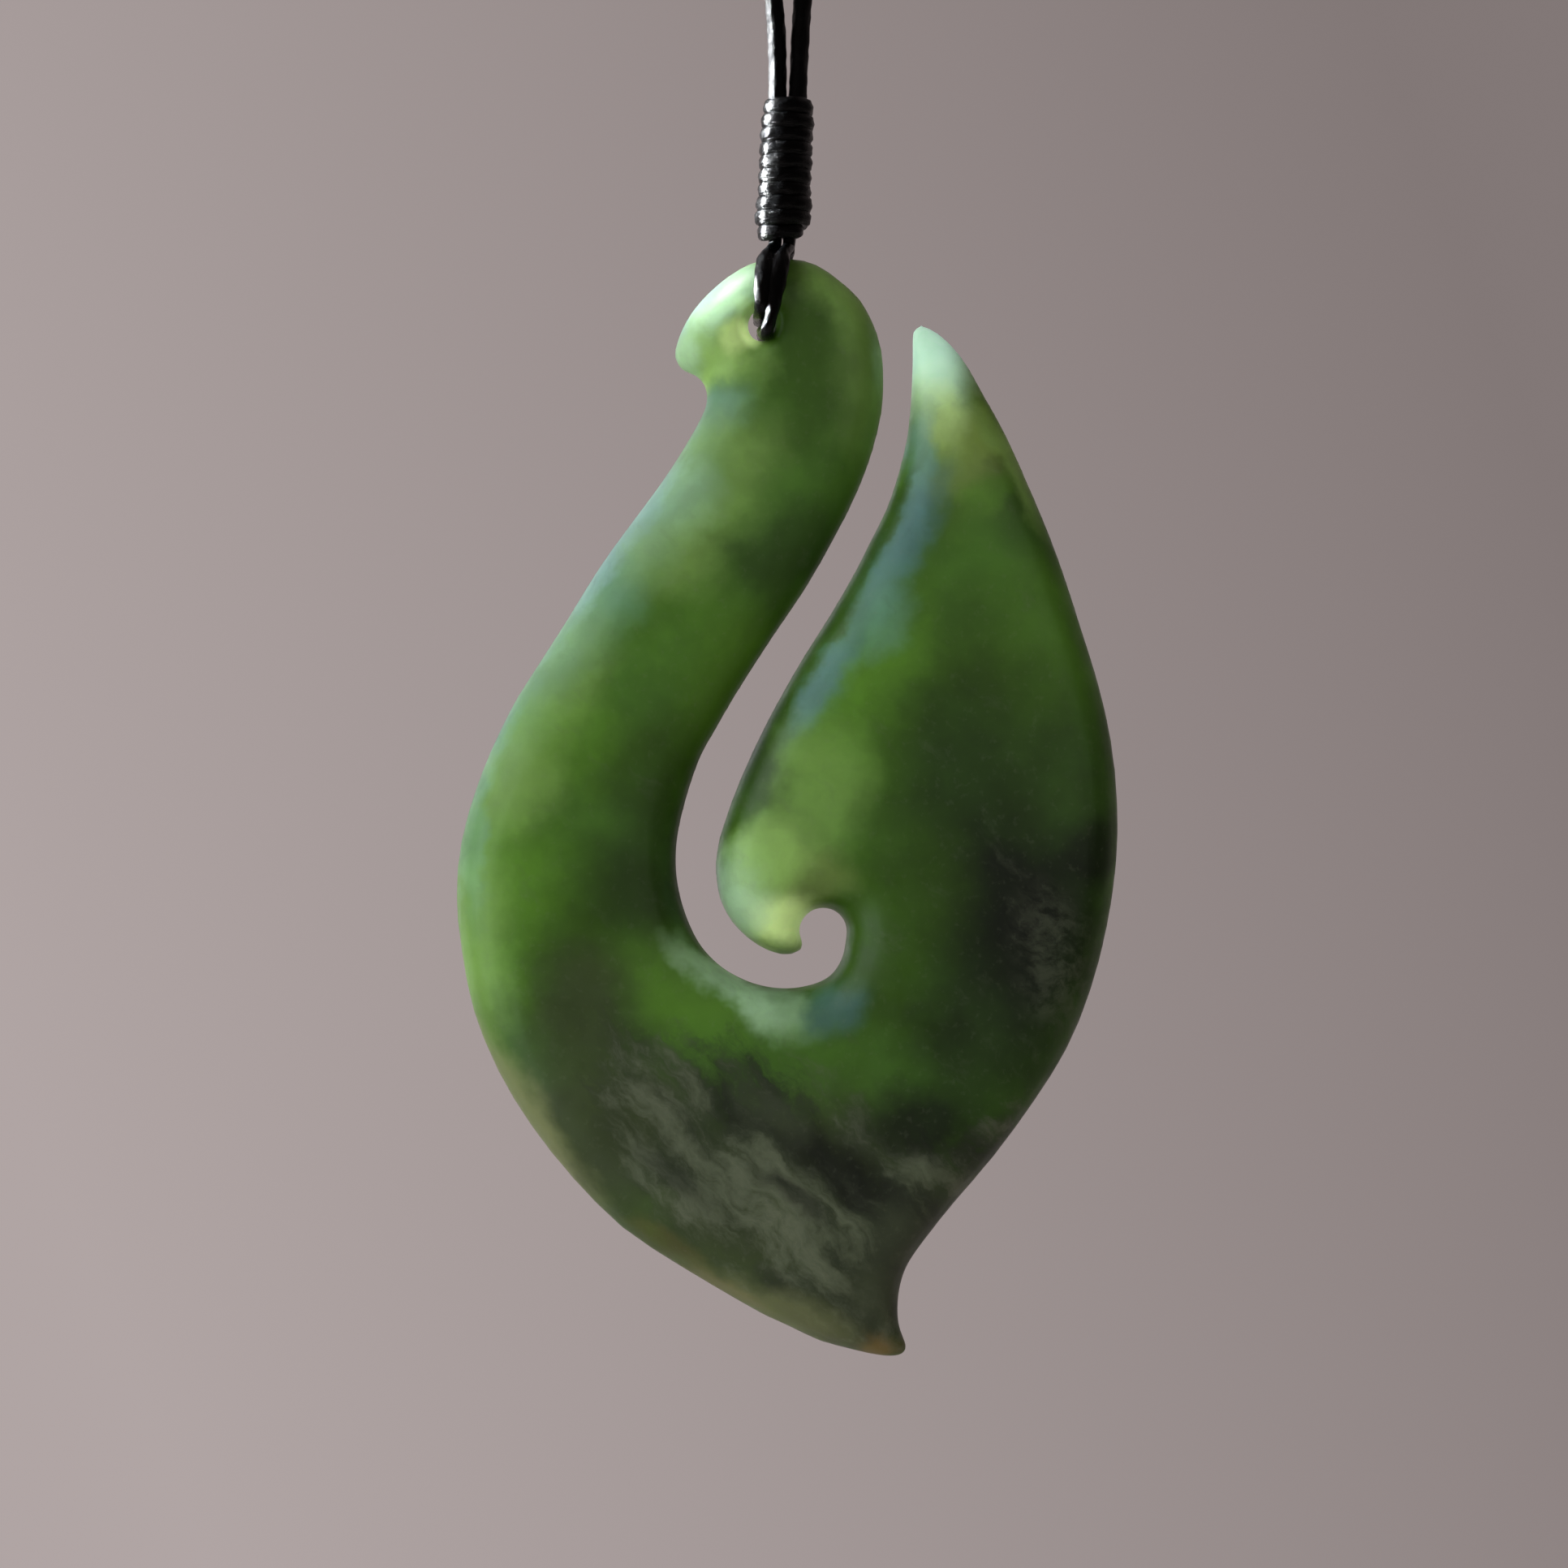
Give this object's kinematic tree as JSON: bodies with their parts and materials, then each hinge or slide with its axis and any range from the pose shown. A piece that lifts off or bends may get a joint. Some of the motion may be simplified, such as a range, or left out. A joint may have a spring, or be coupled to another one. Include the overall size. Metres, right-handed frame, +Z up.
{
  "type": "hei matau pendant",
  "caption": "Fish hook pendant carved from green stone, with a broad lobe, a curled barb and a flick at the foot, lashed to a black waxed neck cord.",
  "frame": {"origin": "underside of the neck cord at the top of its loop, where it rests on the neck", "axes": "+Z up, the front of the hook faces -Y, +X to the right seen from the front"},
  "size_m": [0.1164, 0.0064, 0.3475],
  "materials": {
    "jade": "polished",
    "waxed_thread": "waxed",
    "waxed_cord": "waxed"
  },
  "bodies": {
    "cord": {"neck_cord": "waxed_cord", "lashing": "waxed_thread", "hanging_loop": "waxed_thread"},
    "pendant": {"hook": "jade"}
  },
  "joints": [
    {"name": "pendant_swing", "type": "hinge", "parent": "cord", "child": "pendant", "pos_m": [-0.00148, 0, -0.29022], "axis": [0, 1, 0], "range_deg": [-8, 8]}
  ]
}
